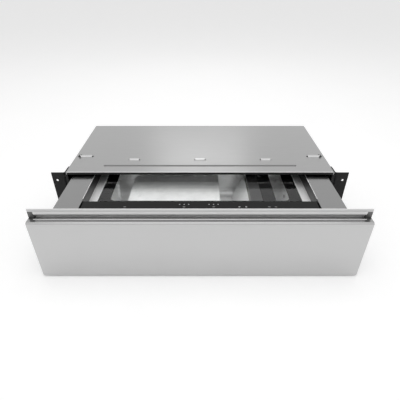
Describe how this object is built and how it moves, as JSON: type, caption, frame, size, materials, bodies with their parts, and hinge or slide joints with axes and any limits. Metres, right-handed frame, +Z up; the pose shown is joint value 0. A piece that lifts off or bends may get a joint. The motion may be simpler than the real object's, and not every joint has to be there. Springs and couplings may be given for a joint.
{
  "type": "vacuum sealing drawer",
  "caption": "Built-in vacuum sealing drawer: a steel housing for a kitchen niche and a drawer on telescopic rails, with a glass-lidded vacuum chamber, a sealing bar and a control strip.",
  "frame": {"origin": "centre of the housing's underside", "axes": "+X to the right seen from the front, +Y towards the rear, +Z up"},
  "size_m": [0.59, 0.387, 0.1493],
  "materials": {
    "housing_steel": "fine brushed, dull",
    "black_bracket": "satin black powder coat",
    "rail_steel": "zinc plated",
    "rail_strip": "pressed steel",
    "screw_zinc": "bright zinc",
    "panel_steel": "fine horizontal brushing",
    "inner_steel": "mill finish",
    "strip_steel": "satin",
    "chamber_steel": "bright satin",
    "rubber_black": "matt",
    "gasket_rubber": "matt silicone",
    "control_glass": "black back-printed glass, polished",
    "lid_glass": "clear safety glass with a black printed border",
    "plastic_black": "fine grained",
    "insert_plastic": "smooth, pale",
    "hinge_steel": "turned",
    "seal_aluminium": "anodised",
    "heating_alloy": "bright band",
    "seal_tape": "woven glass cloth, slippery coat",
    "pump_alloy": "cast",
    "motor_enamel": "satin enamel",
    "fan_plastic": "moulded",
    "board_green": "solder mask"
  },
  "bodies": {
    "housing": {"housing_base": "housing_steel", "housing_top_cover": "housing_steel", "housing_rear_panel": "housing_steel", "power_inlet": "plastic_black", "mounting_bracket_right": "black_bracket", "mounting_bracket_left": "black_bracket", "rail_outer_right": "rail_steel", "rail_outer_left": "rail_steel", "housing_screws": "screw_zinc", "rear_stops": "rubber_black"},
    "drawer": {"bag_ramp": "chamber_steel", "board_standoffs": "plastic_black", "chamber_gasket": "gasket_rubber", "chamber_insert_plate": "insert_plastic", "control_board": "board_green", "control_glass": "control_glass", "control_housing": "plastic_black", "drawer_screws": "screw_zinc", "drawer_tray": "inner_steel", "front_panel": "panel_steel", "grip_end_caps": "panel_steel", "grip_floor": "panel_steel", "grip_rail": "panel_steel", "lid_hinge_brackets": "hinge_steel", "lid_hinge_pins": "hinge_steel", "panel_backing": "inner_steel", "panel_bumpers": "rubber_black", "power_board": "board_green", "pump_base": "inner_steel", "pump_block": "pump_alloy", "pump_head": "pump_alloy", "pump_isolators": "rubber_black", "pump_motor": "motor_enamel", "rail_inner_left": "rail_steel", "rail_inner_right": "rail_steel", "seal_lift_cylinders": "seal_aluminium", "side_frame_left": "inner_steel", "side_frame_right": "inner_steel", "side_strip_left": "strip_steel", "side_strip_right": "strip_steel", "suction_port": "chamber_steel", "vacuum_chamber": "chamber_steel", "vacuum_hose": "rubber_black", "vent_valve": "fan_plastic"},
    "lid": {"lid_glass": "lid_glass", "lid_hinge_arms": "hinge_steel", "counter_bar_holder": "seal_aluminium", "counter_bar_pad": "gasket_rubber"},
    "seal_bar": {"sealing_bar": "seal_aluminium", "heating_band": "heating_alloy", "sealing_tape": "seal_tape", "seal_lift_rods": "hinge_steel"},
    "pump_rotor": {"motor_shaft": "hinge_steel", "motor_fan": "fan_plastic"},
    "ball_strip_inner_left": {"ball_strip_inner_left": "rail_strip"},
    "ball_strip_inner_right": {"ball_strip_inner_right": "rail_strip"},
    "ball_strip_outer_left": {"ball_strip_outer_left": "rail_strip"},
    "ball_strip_outer_right": {"ball_strip_outer_right": "rail_strip"},
    "rail_middle_left": {"rail_middle_left": "rail_steel"},
    "rail_middle_right": {"rail_middle_right": "rail_steel"}
  },
  "joints": [
    {"name": "drawer_slide", "type": "slide", "parent": "housing", "child": "drawer", "axis": [0, -1, 0], "range_m": [-0.1135, 0.0985]},
    {"name": "ball_strip_inner_left_slide", "type": "slide", "parent": "housing", "child": "ball_strip_inner_left", "axis": [0, -1, 0], "range_m": [-0.08612, 0.07487]},
    {"name": "ball_strip_inner_right_slide", "type": "slide", "parent": "housing", "child": "ball_strip_inner_right", "axis": [0, -1, 0], "range_m": [-0.08612, 0.07487]},
    {"name": "ball_strip_outer_left_slide", "type": "slide", "parent": "housing", "child": "ball_strip_outer_left", "axis": [0, -1, 0], "range_m": [-0.02937, 0.02562]},
    {"name": "ball_strip_outer_right_slide", "type": "slide", "parent": "housing", "child": "ball_strip_outer_right", "axis": [0, -1, 0], "range_m": [-0.02937, 0.02562]},
    {"name": "rail_middle_left_slide", "type": "slide", "parent": "housing", "child": "rail_middle_left", "axis": [0, -1, 0], "range_m": [-0.05775, 0.05025]},
    {"name": "rail_middle_right_slide", "type": "slide", "parent": "housing", "child": "rail_middle_right", "axis": [0, -1, 0], "range_m": [-0.05775, 0.05025]},
    {"name": "lid_hinge", "type": "hinge", "parent": "drawer", "child": "lid", "pos_m": [0, -0.033, 0.123], "axis": [-1, 0, 0], "range_deg": [0, 4.5]},
    {"name": "seal_bar_lift", "type": "slide", "parent": "drawer", "child": "seal_bar", "axis": [0, 0, 1], "range_m": [0, 0.0045]},
    {"name": "pump_spin", "type": "hinge", "parent": "drawer", "child": "pump_rotor", "pos_m": [-0.217, -0.17, 0.05], "axis": [0, 1, 0], "continuous": true}
  ],
  "couplings": [
    {"joint": "ball_strip_inner_left_slide", "follows": "drawer_slide", "ratio": 0.75},
    {"joint": "ball_strip_inner_right_slide", "follows": "drawer_slide", "ratio": 0.75},
    {"joint": "ball_strip_outer_left_slide", "follows": "drawer_slide", "ratio": 0.25},
    {"joint": "ball_strip_outer_right_slide", "follows": "drawer_slide", "ratio": 0.25},
    {"joint": "rail_middle_left_slide", "follows": "drawer_slide", "ratio": 0.5},
    {"joint": "rail_middle_right_slide", "follows": "drawer_slide", "ratio": 0.5}
  ]
}
